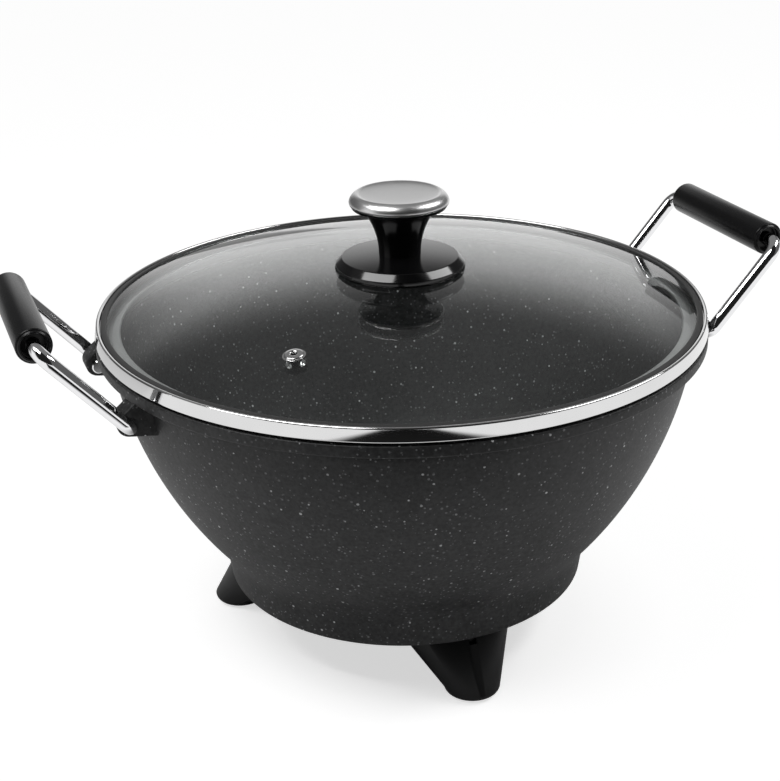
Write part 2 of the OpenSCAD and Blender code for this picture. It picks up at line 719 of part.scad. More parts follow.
module knob_stem() color([0.03, 0.03, 0.03]) {
  socket_r = insert_r + bore_gap;
  head_top = cap_top_z - dish_depth - cap_t - bore_gap;
  rotate_extrude() polygon(concat(
    [[socket_r, skirt_top_z]],
    arc([stem_r + stem_curve, skirt_top_z], -stem_curve, 0, -asin(stem_h / stem_curve), 12),
    [[head_r - 0.3, cap_z - 0.5], [head_r - 0.3, cap_z], [head_r - cap_t - bore_gap, cap_z],
     [head_r - cap_t - bore_gap, cap_z + cap_h * 0.4], [dish_r - cap_t, head_top], [0, head_top],
     [0, skirt_top_z + knob_thread_l + 1], [socket_r, skirt_top_z + knob_thread_l + 1]]));
}

// Pressed steel cap, rolled in under its edge, with a dished top
module knob_cap() color("silver") {
  wide_z = cap_z + cap_h * 0.45;
  head_top = cap_top_z - dish_depth - cap_t;
  rotate_extrude() polygon(concat(
    [[head_r - cap_t, cap_z], [head_r, cap_z]],
    blend([head_r, cap_z], [cap_r, cap_z + cap_h * 0.15], [cap_r, wide_z], 5),
    blend([cap_r, wide_z], [cap_r, cap_top_z - 0.4], [dish_r + 0.8, cap_top_z], 7),
    blend([dish_r + 0.8, cap_top_z], [dish_r, cap_top_z], [dish_r - 1.5, cap_top_z - dish_depth * 0.7], 4),
    [[dish_r * 0.6, cap_top_z - dish_depth], [0, cap_top_z - dish_depth]],
    [[0, head_top], [dish_r - cap_t, head_top], [head_r - cap_t, cap_z + cap_h * 0.4]]));
}

module knob_insert() color("goldenrod") {
  translate([0, 0, skirt_top_z]) difference() {
    cylinder(r = insert_r, h = knob_thread_l);
    translate([0, 0, -1]) cylinder(r = knob_screw_r + bore_gap, h = knob_thread_l + 2);
  }
}

module knob_gasket() color([0.2, 0.2, 0.2]) washer(gasket_z, gasket_t, washer_r);
module knob_washer() color("silver") washer(washer_z, washer_t, washer_r - 1);

module washer(z, t, r) {
  translate([0, 0, z]) difference() {
    cylinder(r = r, h = t);
    translate([0, 0, -1]) cylinder(r = knob_screw_r + seat_gap, h = t + 2);
  }
}

module knob_screw() color("silver") {
  slot = 1;
  pan_r = 2 * knob_screw_r;
  translate([0, 0, washer_z]) difference() {
    union() {
      translate([0, 0, -slot]) cylinder(r = knob_screw_r, h = skirt_top_z + knob_thread_l - washer_z);
      translate([0, 0, -screw_head_t]) rotate_extrude() polygon(concat(
        [[0, 0]],
        blend([knob_screw_r, 0], [pan_r, 0], [pan_r, screw_head_t * 0.7], 4),
        [[pan_r, screw_head_t], [0, screw_head_t]]));
    }
    for (a = [0, 90]) rotate(a)
      translate([-knob_screw_r, -slot / 2, -screw_head_t - slot]) cube([pan_r, slot, 2.2 * slot]);
  }
}

wok_bowl();
heating_element();
terminal_pins();
terminal_bushes();
probe_tube();
inlet_housing();
inlet_screws();
earth_clip();
base_cover();
front_leg();
rear_right_leg();
rear_left_leg();
leg_screws();
leg_pads();
left_handle_rod();
left_handle_grip();
right_handle_rod();
right_handle_grip();
lid_glass();
lid_seal();
lid_rim();
vent_eyelet();
knob_skirt();
knob_stem();
knob_cap();
knob_insert();
knob_screw();
knob_washer();
knob_gasket();
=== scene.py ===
import math

import bmesh
import bpy
from mathutils import Matrix, Vector


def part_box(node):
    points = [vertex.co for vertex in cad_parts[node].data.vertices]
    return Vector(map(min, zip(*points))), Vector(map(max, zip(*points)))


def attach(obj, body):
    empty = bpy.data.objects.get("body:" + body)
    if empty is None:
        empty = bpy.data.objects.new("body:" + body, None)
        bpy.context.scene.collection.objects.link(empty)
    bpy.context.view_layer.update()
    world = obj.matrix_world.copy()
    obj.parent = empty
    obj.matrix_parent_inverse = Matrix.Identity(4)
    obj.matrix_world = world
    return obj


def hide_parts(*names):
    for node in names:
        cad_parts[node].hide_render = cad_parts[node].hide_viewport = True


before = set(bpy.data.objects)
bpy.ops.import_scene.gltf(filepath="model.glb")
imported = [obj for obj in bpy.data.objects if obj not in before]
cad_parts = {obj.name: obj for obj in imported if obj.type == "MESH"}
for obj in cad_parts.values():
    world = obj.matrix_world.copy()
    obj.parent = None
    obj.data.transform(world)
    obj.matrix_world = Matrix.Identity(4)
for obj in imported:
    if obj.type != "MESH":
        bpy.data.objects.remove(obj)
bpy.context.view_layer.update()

# ------------------------------------------------------------------------------------------
# Bowl. One aluminium casting holds the bowl, its foot ring, the band round the rim, the seat
# for the lid and the four ears of the handles. It is sprayed inside and out with a charcoal
# non-stick coat that is flecked with white.
MM = 0.001
NOTHING = 1e-6                 # a length below this counts as none

bowl_low, bowl_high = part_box("wok_bowl")
rim_r = bowl_high.y / MM
rim_z = bowl_high.z / MM
ring_z = bowl_low.z / MM       # lower edge of the foot ring

band_h = 7.4                   # band round the rim
band_round = 1.4
band_step = 7.6                # how far the band stands out from the side
side_r = 234.5                 # curve of the side, and the height of its centre over the band
side_rise = 28.9
wall = 3.5
floor_t = 5
floor_r = 76                   # flat part of the floor, and how high it curves up to the side
floor_rise = 20
seat_depth = 5.7               # seat that the lid drops into
ledge_w = 4.3
ring_r = 107.2                 # foot ring at its lower edge
ring_h = 22
ring_flare = 3.6
ring_wall = 3.5
heater_space = 12
blend_h = 8                    # soft corner where the foot ring meets the side
edge_round = 0.8               # small edges of the casting
seat_round = 0.9               # upper edge of the lid's seat
window_w = 48                  # window in the foot ring for the heater's ends
casting_turns = 224

pivot_out = 3                  # pivots of the handles, out from the side and under the band
pivot_drop = 10
rod_r = 4
bore_gap = 0.05
ear_r = 6.8
ear_w = 14
ear_out = 51.5                 # outer face of an ear, from the middle plane of the handle
ear_root = 20                  # how deep an ear starts in the casting
ear_under = math.radians(8)    # slopes of its lower and its upper face
ear_over = math.radians(50)
ear_steps = 14

band_z = rim_z - band_h
ring_top_z = ring_z + ring_h
side_top_r = rim_r - band_step
side_c = Vector((side_top_r - math.sqrt(side_r ** 2 - side_rise ** 2), band_z + side_rise))
floor_z = ring_z + heater_space + floor_t
ledge_z = rim_z - seat_depth
pivot_r = side_top_r + pivot_out
pivot_z = band_z - pivot_drop


def side_x(radius, z):
    """How far out a circle round the centre of the side's curve is at a height."""
    return side_c.x + math.sqrt(radius ** 2 - (z - side_c.y) ** 2)


def side_curve(radius, start_z, end_z, steps=24):
    """Points along that circle from one height to another, evenly spaced by angle."""
    start = math.asin((start_z - side_c.y) / radius)
    turn = math.asin((end_z - side_c.y) / radius) - start
    angles = [start + turn * i / steps for i in range(steps + 1)]
    return [side_c + radius * Vector((math.cos(a), math.sin(a))) for a in angles]


def swoop(start, corner, end, steps=10):
    """Points of a curve that leaves start towards a corner and reaches end from it."""
    a, b, c = Vector(start), Vector(corner), Vector(end)
    shares = [i / steps for i in range(steps + 1)]
    return [a * (1 - t) ** 2 + b * 2 * t * (1 - t) + c * t ** 2 for t in shares]


def rounded(corners, steps=5):
    """An outline from corners (x, z) or (x, z, radius): an arc replaces each with a radius."""
    outline = []
    for i, corner in enumerate(corners):
        here = Vector(corner[:2])
        radius = corner[2] if len(corner) == 3 else 0
        if not radius:
            outline.append(here)
            continue
        back = (Vector(corners[i - 1][:2]) - here).normalized()
        onward = (Vector(corners[(i + 1) % len(corners)][:2]) - here).normalized()
        half = back.angle(onward) / 2
        centre = here + (back + onward).normalized() * radius / math.sin(half)
        first = here + back * radius / math.tan(half) - centre
        last = here + onward * radius / math.tan(half) - centre
        outline += [centre + first.slerp(last, k / steps) for k in range(steps + 1)]
    return outline


def lofted(name, rings, turns=160):
    """A closed skin over a row of level rings, each (x of its middle, radius, z)."""
    skin = bmesh.new()
    rows = []
    for middle, radius, z in rings:
        if radius < NOTHING:
            rows.append([skin.verts.new((middle * MM, 0, z * MM))] * turns)
            continue
        angles = [math.tau * i / turns for i in range(turns)]
        spots = [(middle + radius * math.cos(a), radius * math.sin(a), z) for a in angles]
        rows.append([skin.verts.new(Vector(spot) * MM) for spot in spots])
    pairs = list(zip(rows, rows[1:]))
    if rings[0][1] > NOTHING:
        pairs.append((rows[-1], rows[0]))
    for lower, upper in pairs:
        for i in range(turns):
            j = (i + 1) % turns
            corners = dict.fromkeys((lower[i], lower[j], upper[j], upper[i]))
            if len(corners) > 2:
                skin.faces.new(corners)
    return solid(name, skin)


def turned(name, outline, turns=160):
    """A solid turned round the Z axis from an outline of (radius, z)."""
    return lofted(name, [(0, x, z) for x, z in outline], turns)


def solid(name, skin):
    """An object from a bmesh, with its faces outward."""
    bmesh.ops.recalc_face_normals(skin, faces=skin.faces)
    mesh = bpy.data.meshes.new(name)
    skin.to_mesh(mesh)
    skin.free()
    made = bpy.data.objects.new(name, mesh)
    bpy.context.scene.collection.objects.link(made)
    return made


def slab(name, outline, y0, y1, soft=0.0):
    """An outline in the XZ plane as a slab from y0 to y1, with its edges rounded by soft."""
    skin = bmesh.new()
    face = skin.faces.new([skin.verts.new((x * MM, y0 * MM, z * MM)) for x, z in outline])
    made = bmesh.ops.extrude_face_region(skin, geom=[face])["geom"]
    moved = [part for part in made if isinstance(part, bmesh.types.BMVert)]
    bmesh.ops.translate(skin, verts=moved, vec=(0, (y1 - y0) * MM, 0))
    if soft:
        ends = [e for e in skin.edges if abs(e.verts[0].co.y - e.verts[1].co.y) < NOTHING]
        bmesh.ops.bevel(skin, geom=ends, offset=soft * MM, segments=3, profile=0.5,
                        affect="EDGES")
    return solid(name, skin)


def peg(name, x, y, z, radius, length, sides=64):
    """A round peg along Y that starts at a point."""
    made = turned(name, [(0, 0), (radius, 0), (radius, length), (0, length)], sides)
    laid = Matrix.Rotation(-math.pi / 2, 4, "X")
    made.data.transform(Matrix.Translation(Vector((x, y, z)) * MM) @ laid)
    return made


def settle(piece):
    """Keep the mesh that a piece's modifiers make, without the modifiers."""
    seen = piece.evaluated_get(bpy.context.evaluated_depsgraph_get())
    mesh = bpy.data.meshes.new_from_object(seen)
    piece.modifiers.clear()
    piece.data = mesh


def cut(piece, tool, how="DIFFERENCE"):
    """Cut a tool out of a piece, or join it on, and throw the tool away."""
    step = piece.modifiers.new("cut", "BOOLEAN")
    step.operation = how
    step.solver = "EXACT"
    step.object = tool
    settle(piece)
    bpy.data.objects.remove(tool)


def finished(piece, material, body, *nodes, slot, crease=32):
    """Smooth a piece up to its creases, give it its finish and set it in the frame."""
    piece.data.shade_smooth()
    piece.data.set_sharp_from_angle(angle=math.radians(crease))
    piece.data.materials.clear()
    piece.data.materials.append(material)
    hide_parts(*nodes)
    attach(piece, body)


class Tone:
    """An output in a node tree. Sums, products and powers of tones add their Math nodes."""

    def __init__(self, tree, socket=None):
        self.tree = tree
        self.socket = socket

    @staticmethod
    def pick(sockets, key):
        """The socket at an index, or the one with an identifier or else a name."""
        if isinstance(key, int):
            return sockets[key]
        return next((s for s in sockets if s.identifier == key), None) or sockets[key]

    def node(self, kind, settings=None, sockets=None, out=0):
        """The output of a new node. Its settings are set first, then its sockets."""
        node = self.tree.nodes.new(kind)
        for name, value in (settings or {}).items():
            setattr(node, name, value)
        for key, value in (sockets or {}).items():
            socket = self.pick(node.inputs, key)
            if isinstance(value, Tone):
                self.tree.links.new(value.socket, socket)
            else:
                socket.default_value = value
        return Tone(self.tree, self.pick(node.outputs, out)) if node.outputs else None

    def beside(self, key):
        """Another output of the same node."""
        return Tone(self.tree, self.pick(self.socket.node.outputs, key))

    def maths(self, how, a, b, clamp=False):
        return self.node("ShaderNodeMath", {"operation": how, "use_clamp": clamp}, {0: a, 1: b})

    def __add__(self, other):
        return self.maths("ADD", self, other)

    def __mul__(self, other):
        return self.maths("MULTIPLY", self, other)

    def __sub__(self, other):
        return self.maths("SUBTRACT", self, other)

    def __rsub__(self, other):
        return self.maths("SUBTRACT", other, self)

    def __truediv__(self, other):
        return self.maths("DIVIDE", self, other)

    def __pow__(self, other):
        return self.maths("POWER", self, other)

    def __gt__(self, other):
        return self.maths("GREATER_THAN", self, other)

    __radd__ = __add__
    __rmul__ = __mul__

    def clip(self):
        """The tone held between 0 and 1."""
        return self.maths("ADD", self, 0.0, clamp=True)

    def colour(self, low, high):
        """A colour that goes from low to high as the tone goes from 0 to 1."""
        sockets = {"Factor_Float": self, "A_Color": low, "B_Color": high}
        return self.node("ShaderNodeMix", {"data_type": "RGBA"}, sockets, "Result_Color")

    def noise(self, place, size, detail=2.0):
        """Noise whose lumps are about a size in millimetres."""
        sockets = {"Vector": place, "Scale": 1 / (size * MM), "Detail": detail}
        return self.node("ShaderNodeTexNoise", {}, sockets, "Fac")

    def relief(self, height, depth, strength=1.0):
        """The surface's normal, raised by a height that is at most depth millimetres."""
        sockets = {"Strength": strength, "Distance": depth * MM, "Height": height}
        return self.node("ShaderNodeBump", {}, sockets, "Normal")


def new_finish(name):
    """An empty material, the tone its nodes start from, and the place on its piece."""
    material = bpy.data.materials.new(name)
    material.use_nodes = True
    material.node_tree.nodes.clear()
    start = Tone(material.node_tree)
    return material, start, start.node("ShaderNodeTexCoord", out="Object")


def spread(start, sockets):
    """End a finish in one Principled shader."""
    shader = start.node("ShaderNodeBsdfPrincipled", {}, sockets)
    start.node("ShaderNodeOutputMaterial", {}, {"Surface": shader})


def speckled_coating():
    """Charcoal spray coat: a mottled ground, dim flecks all over, bright ones here and there."""
    charcoal, grey = (0.0100, 0.0102, 0.0105, 1), (0.0330, 0.0333, 0.0340, 1)
    pale_grey, white = (0.27, 0.273, 0.280, 1), (0.78, 0.79, 0.80, 1)
    fleck_edge = 0.25
    material, start, place = new_finish("speckled_coating")
    cloud = start.noise(place, 16)
    mottle = start.noise(place, 2.2, 3.0)

    def flecks(cell, least, most, share):
        """Flecks of a least to a most radius, in a share of the cells of a size, all in mm."""
        sockets = {"Vector": place, "Scale": 1 / (cell * MM)}
        away = start.node("ShaderNodeTexVoronoi", {}, sockets, "Distance")
        chance = start.node("ShaderNodeSeparateColor", {}, {0: away.beside("Color")}, "Red")
        radius = (least + (most - least) * chance) * (chance.beside("Green") > 1 - share)
        shine = 0.35 + 0.65 * chance.beside("Blue")
        return ((radius - away * cell) / fleck_edge).clip() * shine

    dim = flecks(2.6, 0.35, 0.85, 0.75) * (0.2 + cloud)
    bright = flecks(6.0, 0.45, 0.90, 0.75)
    patches = ((mottle - 0.5) * 3 + cloud).clip()
    dull = dim.colour(patches.colour(charcoal, grey), pale_grey)
    grain = start.noise(place, 0.7, 3.0)
    spread(start, {
        "Base Color": bright.colour(dull, white),
        "Roughness": 0.44 + grain * 0.14,
        "Specular IOR Level": 0.32,
        "Normal": start.relief(grain + dim * 0.4 + bright * 0.6, 0.05),
    })
    return material


coat = speckled_coating()

bowl = turned("cast_bowl", rounded([
    (0, floor_z - floor_t),
    (ring_r - ring_wall, floor_z - floor_t, 1.5),
    (ring_r - ring_wall, ring_z, 0.6),
    (ring_r, ring_z, edge_round),
    *swoop((ring_r + ring_flare * (ring_h - blend_h) / ring_h, ring_top_z - blend_h),
           (ring_r + ring_flare, ring_top_z),
           (side_x(side_r, ring_top_z + blend_h), ring_top_z + blend_h)),
    *side_curve(side_r, ring_top_z + 2 * blend_h, band_z - 1.2),
    (side_top_r, band_z, edge_round),
    (rim_r, band_z, band_round),
    (rim_r, rim_z, band_round),
    (0, rim_z),
]), casting_turns)

sweep = math.pi / 2 - ear_under + ear_over
arc = [-math.pi / 2 + ear_under + sweep * i / ear_steps for i in range(ear_steps + 1)]
boss = [Vector((pivot_r + ear_r * math.cos(a), pivot_z + ear_r * math.sin(a))) for a in arc]
root_r = side_top_r - ear_root
top_z = band_z + band_round
ear_outline = [
    (root_r, top_z),
    (root_r, boss[0].y - (boss[0].x - root_r) * math.tan(ear_under)),
    *boss,
    (boss[-1].x - (top_z - boss[-1].y) * math.tan(ear_over), top_z),
]
for side in (-1, 1):
    for end in (-1, 1):
        outline = [(side * x, z) for x, z in ear_outline]
        near, far = sorted((end * (ear_out - ear_w), end * ear_out))
        cut(bowl, slab("ear", outline, near, far, edge_round), "UNION")

inner_r = side_r - wall
ledge_r = side_x(inner_r, ledge_z)
seat_r = ledge_r + ledge_w
cut(bowl, turned("bowl_inside", rounded([
    (0, floor_z),
    *swoop((floor_r, floor_z), (side_x(inner_r, floor_z), floor_z),
           (side_x(inner_r, floor_z + floor_rise), floor_z + floor_rise)),
    *side_curve(inner_r, floor_z + floor_rise * 1.2, ledge_z - 1.2),
    (ledge_r, ledge_z, 0.6),
    (seat_r, ledge_z, 0.3),
    *swoop((seat_r, rim_z - seat_round), (seat_r, rim_z),
           (seat_r + seat_round, rim_z + 0.05), 5),
    (seat_r + seat_round, rim_z + 2),
    (0, rim_z + 2),
]), casting_turns))
for side in (-1, 1):
    for start_y in (-ear_out - 1, ear_out - ear_w - 1):
        cut(bowl, peg("bore", side * pivot_r, start_y, pivot_z, rod_r + bore_gap, ear_w + 2))

window = [(-window_w / 2, ring_z - 1), (window_w / 2, ring_z - 1),
          (window_w / 2, floor_z - floor_t), (-window_w / 2, floor_z - floor_t)]
cut(bowl, slab("window", window, ring_r - 4 * ring_wall, ring_r + 2 * ring_wall))
finished(bowl, coat, "wok", "wok_bowl", slot="coating")


# ------------------------------------------------------------------------------------------
# Heater and inlet. A tubular heater lies under the floor; its plated pins stand in ceramic
# bushes in a moulded housing behind the foot ring, above an earth spring and beside the tube
# for the thermostat's probe. Two screws hold the housing to the foot ring.
def stretched(start, place, scale):
    """A place scaled along each axis, which draws a pattern out where the scale is small."""
    return start.node("ShaderNodeMapping", {}, {"Vector": place, "Scale": scale}, "Vector")


def metal(name, colour, roughness, streaks=0.0, tint=None):
    """Bare metal: faint stains, fine scratches along Y, and a second colour in patches."""
    material, start, place = new_finish(name)
    stain = start.noise(place, 9, 4.0)
    scratch = start.noise(stretched(start, place, (1, 0.04, 1)), 0.35)
    spread(start, {
        "Base Color": stain.colour((*colour, 1), (*(tint or colour), 1)),
        "Metallic": 1.0,
        "Roughness": roughness * 0.85 + stain * (roughness * 0.3),
        "Normal": start.relief(scratch, 0.01 + streaks, 0.2 + streaks),
    })
    return material


def moulded(name, colour, roughness, grain=0.5, depth=0.02, gloss=0.5):
    """Moulded plastic, rubber or enamel: a fine grain and a slight cloud in its colour."""
    material, start, place = new_finish(name)
    cloud = start.noise(place, 12, 3.0)
    texture = start.noise(place, grain)
    darker = (*[c * 0.82 for c in colour], 1)
    lighter = (*[c * 1.18 for c in colour], 1)
    spread(start, {
        "Base Color": cloud.colour(darker, lighter),
        "Roughness": roughness - 0.04 + texture * 0.08,
        "Specular IOR Level": gloss,
        "Normal": start.relief(texture, depth, 0.6),
    })
    return material


def dress(node, material):
    """Give a CAD node its finish."""
    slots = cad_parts[node].data.materials
    slots.clear()
    slots.append(material)


screw_zinc = metal("zinc_plate", (0.60, 0.61, 0.60), 0.32, tint=(0.52, 0.53, 0.50))
housing_plastic = moulded("housing_plastic", (0.024, 0.024, 0.025), 0.42)
dress("heating_element",
      metal("heat_tinted_sheath", (0.36, 0.33, 0.29), 0.42, tint=(0.20, 0.16, 0.14)))
dress("terminal_pins", metal("nickel_plate", (0.76, 0.74, 0.70), 0.16))
dress("terminal_bushes", moulded("steatite", (0.72, 0.69, 0.61), 0.6, 0.3))
dress("probe_tube", metal("drawn_steel", (0.60, 0.60, 0.58), 0.28, 0.02))
dress("inlet_housing", housing_plastic)
dress("inlet_screws", screw_zinc)
dress("earth_clip", metal("spring_brass", (0.70, 0.53, 0.25), 0.28, 0.02, (0.55, 0.40, 0.18)))


# ------------------------------------------------------------------------------------------
# Base cover and leg screws. A pressed steel plate with a ring of cooling slots closes the
# foot ring from below; it is enamelled black and held by the three leg screws.
dress("base_cover", moulded("black_enamel", (0.030, 0.030, 0.030), 0.38, 1.2, 0.03))
dress("leg_screws", screw_zinc)


# ------------------------------------------------------------------------------------------
# Legs. Three satin black mouldings, each a leaning shell that narrows to a round foot over a
# rubber pad, with a drain notch at its top. One leg is made, and set at each place.
leg_low, leg_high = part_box("front_leg")
leg_top_z = leg_high.z / MM
leg_foot_z = leg_low.z / MM
leg_top_r = leg_high.x / MM
leg_top_at = -leg_high.y / MM + leg_top_r
leg_foot_r = 16.2
leg_foot_at = -leg_low.y / MM - leg_foot_r
leg_round = 3
leg_wall = 2.6
leg_screw_at = 97
leg_head_r = 4.2               # head of the leg's screw, and its hole's clearance
leg_head_t = 3
leg_head_gap = 0.3
leg_screw_r = 2.25
leg_edge = 0.4
leg_turns = 96
hole_turns = 48
foot_steps = 8
pad_r = 12.6
pad_t = 2.5
notch_w = 4.4
notch_h = 6
leg_floor_z = pad_t + leg_wall
head_hole_r = leg_head_r + leg_head_gap


def leg_rings():
    """Rings of a leg from the middle of its inner floor, over its top, to its pad's seat."""
    inside = leg_foot_r - leg_wall
    rings = [(leg_foot_at, 0, leg_floor_z), (leg_foot_at, inside - 1, leg_floor_z),
             (leg_foot_at, inside, leg_floor_z + 1)]
    rings += [(leg_top_at, leg_top_r - leg_wall, leg_top_z),
              (leg_top_at, leg_top_r - leg_edge, leg_top_z),
              (leg_top_at, leg_top_r, leg_top_z - leg_edge)]
    for i in range(foot_steps + 1):
        a = math.pi / 2 * i / foot_steps
        reach = leg_foot_r - 0.8 * leg_round * (1 - math.cos(a))
        rings.append((leg_foot_at, reach, leg_foot_z + leg_round * (1 - math.sin(a))))
    return rings + [(leg_foot_at, pad_r + bore_gap, leg_foot_z),
                    (leg_foot_at, pad_r + bore_gap, pad_t), (leg_foot_at, 0, pad_t)]


def leg_bushing():
    """The tube that a leg's screw stands in, from its seat up to the foot ring."""
    seat_z = leg_floor_z + leg_head_t
    start_z = pad_t + leg_wall / 2
    return lofted("leg_bushing", [(leg_screw_at, *ring) for ring in (
        (leg_screw_r + bore_gap, seat_z), (leg_screw_r + bore_gap, leg_top_z),
        (leg_head_r + leg_wall, leg_top_z), (leg_head_r + leg_wall, start_z),
        (head_hole_r, start_z), (head_hole_r, seat_z))], hole_turns)


def new_tree(title, inputs, result):
    """An empty node tree, the identifiers of its inputs, and the tone of its first input."""
    tree = bpy.data.node_groups.new(title, "GeometryNodeTree")
    names = {}
    for name, kind in inputs.items():
        socket = tree.interface.new_socket(
            name=name, in_out="INPUT", socket_type="NodeSocket" + kind)
        names[name] = socket.identifier
    tree.interface.new_socket(name=result, in_out="OUTPUT", socket_type="NodeSocketGeometry")
    return tree, names, Tone(tree).node("NodeGroupInput")


def end_tree(given, shape):
    """End a node tree in real geometry with the finish that it is given."""
    real = given.node("GeometryNodeRealizeInstances", {}, {"Geometry": shape})
    done = given.node("GeometryNodeSetMaterial", {},
                      {"Geometry": real, "Material": given.beside("Finish")})
    given.node("NodeGroupOutput", {}, {0: done})


def turning_tree():
    """Node tree that turns a piece round the wok's axis, and its inputs by name."""
    tree, names, given = new_tree("set_at_angle", {
        "Piece": "Geometry", "Angle": "Float", "Finish": "Material"}, "Set piece")
    turn = given.node("ShaderNodeCombineXYZ", {}, {"Z": given.beside("Angle")})
    end_tree(given, given.node("GeometryNodeTransform", {}, {"Geometry": given, "Rotation": turn}))
    return tree, names


def run_tree(piece, tree, names, values):
    """Keep the mesh that a node tree makes of a piece with these inputs."""
    step = piece.modifiers.new("shape", "NODES")
    step.node_group = tree
    for name, value in values.items():
        step[names[name]] = value
    settle(piece)


leg_plastic = moulded("leg_plastic", (0.0075, 0.0075, 0.0080), 0.42, gloss=0.30)
set_at_angle, set_names = turning_tree()
notch_at = leg_top_at + leg_top_r - leg_wall - 0.5
notch = [(notch_at, leg_top_z - notch_h), (notch_at + 2 * leg_wall, leg_top_z - notch_h),
         (notch_at + 2 * leg_wall, leg_top_z + 1), (notch_at, leg_top_z + 1)]
head_hole = [(leg_screw_at, 0, -1), (leg_screw_at, head_hole_r, -1),
             (leg_screw_at, head_hole_r, leg_floor_z + 1), (leg_screw_at, 0, leg_floor_z + 1)]
for node, angle in (("front_leg", -90), ("rear_right_leg", 25), ("rear_left_leg", 155)):
    leg = lofted(node + "_shell", leg_rings(), leg_turns)
    cut(leg, slab("notch", notch, -notch_w / 2, notch_w / 2))
    cut(leg, lofted("head_hole", head_hole, hole_turns))
    cut(leg, leg_bushing(), "UNION")
    run_tree(leg, set_at_angle, set_names, {"Angle": math.radians(angle), "Finish": leg_plastic})
    finished(leg, leg_plastic, "wok", node, slot="leg_plastic")
dress("leg_pads", moulded("pad_rubber", (0.028, 0.028, 0.028), 0.75, 0.8, 0.05))


# ------------------------------------------------------------------------------------------
# Handles. Each is a bright chromed steel wire, bent to a bail with its sprung ends in the
# bowl's ears, through a satin black grip whose ends are dished round the wire.
bail_w = 116.4                 # between the middles of the two legs of a bail
bail_l = 66                    # from the pivot to the middle of the grip
bail_angle = math.radians(48.8)
ear_bend = 6
grip_bend = 9
bend_steps = 20
wire_sides = 48
tip_l = 3.5
tip_chamfer = 0.6
grip_r = 9.75
grip_l = 95
grip_recess = 3                # dished end of a grip: its depth, its rim and its taper
grip_rim = 2.2
grip_taper = 0.4


def wire_tree():
    """Node tree that rounds a path's corners and sweeps a wire along it, with its inputs."""
    tree, names, given = new_tree("bent_wire", {
        "Path": "Geometry", "Wire radius": "Float", "Sides": "Int", "Steps in a bend": "Int",
        "Finish": "Material"}, "Wire")
    line = given.node("GeometryNodeMeshToCurve", {}, {"Mesh": given})
    bend, thick = [
        given.node("GeometryNodeInputNamedAttribute", {"data_type": "FLOAT"}, {"Name": name})
        for name in ("bend", "thick")]
    curve = given.node("GeometryNodeFilletCurve", {"mode": "POLY"}, {
        "Curve": line, "Radius": bend, "Count": given.beside("Steps in a bend")})
    section = given.node("GeometryNodeCurvePrimitiveCircle", {}, {
        "Resolution": given.beside("Sides"), "Radius": given.beside("Wire radius")})
    end_tree(given, given.node("GeometryNodeCurveToMesh", {}, {
        "Curve": curve, "Profile Curve": section, "Scale": thick, "Fill Caps": True}))
    return tree, names


def bail_path(name):
    """The line of a handle laid flat, with the bend at each corner and the wire's thickness."""
    half = bail_w / 2
    tip_y = ear_out - ear_w - tip_l
    thin = 1 - tip_chamfer / rod_r
    one_side = [(0, tip_y, 0, thin), (0, tip_y + tip_chamfer, 0, 1), (0, half, ear_bend, 1),
                (bail_l, half, grip_bend, 1)]
    stops = one_side + [(x, -y, bend, thick) for x, y, bend, thick in reversed(one_side)]
    mesh = bpy.data.meshes.new(name)
    links = [(i, i + 1) for i in range(len(stops) - 1)]
    mesh.from_pydata([(x * MM, y * MM, 0) for x, y, bend, thick in stops], links, [])
    for title, values in (("bend", [s[2] * MM for s in stops]), ("thick", [s[3] for s in stops])):
        mesh.attributes.new(title, "FLOAT", "POINT").data.foreach_set("value", values)
    path = bpy.data.objects.new(name, mesh)
    bpy.context.scene.collection.objects.link(path)
    return path


def chrome():
    """Bright chrome with a few faint hairline scratches."""
    material, start, place = new_finish("bright_chrome")
    haze = start.noise(place, 5, 4.0)
    spread(start, {
        "Base Color": haze.colour((0.80, 0.80, 0.81, 1), (0.86, 0.86, 0.87, 1)),
        "Metallic": 1.0,
        "Roughness": 0.035 + haze * 0.05,
        "Normal": start.relief(start.noise(place, 1.5), 0.002, 0.2),
    })
    return material


rod_chrome = chrome()
grip_plastic = moulded("grip_plastic", (0.0060, 0.0060, 0.0064), 0.28, 0.35, 0.008, gloss=0.22)
bent_wire, wire_names = wire_tree()
raised = (Matrix.Translation(Vector((pivot_r, 0, pivot_z)) * MM)
          @ Matrix.Rotation(-bail_angle, 4, "Y"))
for side, turn in (("right", 0), ("left", math.pi)):
    stand = Matrix.Rotation(turn, 4, "Z") @ raised
    rod = bail_path(side + "_handle_wire")
    run_tree(rod, bent_wire, wire_names, {
        "Wire radius": rod_r * MM, "Sides": wire_sides, "Steps in a bend": bend_steps,
        "Finish": rod_chrome})
    skin = bmesh.new()
    skin.from_mesh(rod.data)
    bmesh.ops.remove_doubles(skin, verts=skin.verts, dist=NOTHING)
    bmesh.ops.recalc_face_normals(skin, faces=skin.faces)
    skin.to_mesh(rod.data)
    skin.free()
    rod.data.transform(stand)
    finished(rod, rod_chrome, side + "_handle", side + "_handle_rod", slot="chrome_rod", crease=40)

    half = grip_l / 2
    rim_in_r = grip_r - grip_rim
    grip = turned(side + "_handle_sleeve", rounded([
        (rod_r + bore_gap, grip_recess - half), (rim_in_r - grip_taper, grip_recess - half, 0.6),
        (rim_in_r, -half, 0.4), (grip_r, -half, 1.2), (grip_r, half, 1.2),
        (rim_in_r, half, 0.4), (rim_in_r - grip_taper, half - grip_recess, 0.6),
        (rod_r + bore_gap, half - grip_recess)]), 96)
    lay = Matrix.Translation((bail_l * MM, 0, 0)) @ Matrix.Rotation(math.pi / 2, 4, "X")
    grip.data.transform(stand @ lay)
    finished(grip, grip_plastic, side + "_handle", side + "_handle_grip", slot="grip_plastic")


